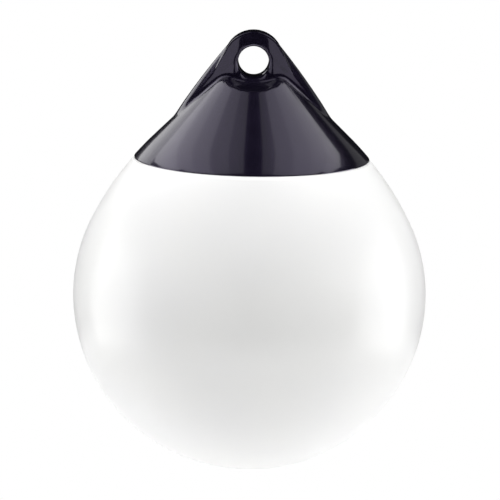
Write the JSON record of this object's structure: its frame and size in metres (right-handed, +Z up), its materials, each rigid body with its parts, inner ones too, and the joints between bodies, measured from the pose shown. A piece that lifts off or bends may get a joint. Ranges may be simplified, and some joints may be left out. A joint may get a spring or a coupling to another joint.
{
  "type": "inflatable mooring buoy",
  "caption": "Pear-shaped inflatable vinyl mooring buoy: white blown body, dark moulded rope hold with a through eye, and a screw-plug inflation valve on the back of the hood",
  "frame": {"origin": "centre of the rope eye's throat, where the mooring line bears", "axes": "+Z up along the buoy's axis, with the ball hanging below the eye; +Y along the eye's bore, away from the side the picture shows; +X to the right seen from that side"},
  "size_m": [0.3049, 0.305, 0.3805],
  "materials": {
    "body_vinyl": "white blown vinyl, smooth and glossy",
    "rope_hold_vinyl": "navy-black moulded vinyl, glossy",
    "valve_seat_nylon": "black moulded nylon, satin",
    "valve_plug_acetal": "grey turned acetal, satin",
    "valve_rubber": "black nitrile rubber"
  },
  "bodies": {
    "buoy": {"body_shell": "body_vinyl", "rope_hold": "rope_hold_vinyl", "valve_seat": "valve_seat_nylon"},
    "washer_carrier": {"valve_washer": "valve_rubber"},
    "plug": {"valve_plug": "valve_plug_acetal"}
  },
  "joints": [
    {"name": "plug_rise", "type": "slide", "parent": "buoy", "child": "washer_carrier", "axis": [0, 0.699, 0.7151], "range_m": [0, 0.01]},
    {"name": "plug_turn", "type": "hinge", "parent": "washer_carrier", "child": "plug", "pos_m": [0, 0.07141, -0.053], "axis": [0, 0.699, 0.7151], "range_deg": [0, 1800]}
  ],
  "couplings": [
    {"joint": "plug_turn", "follows": "plug_rise", "rad_per_m": 3141.6}
  ]
}
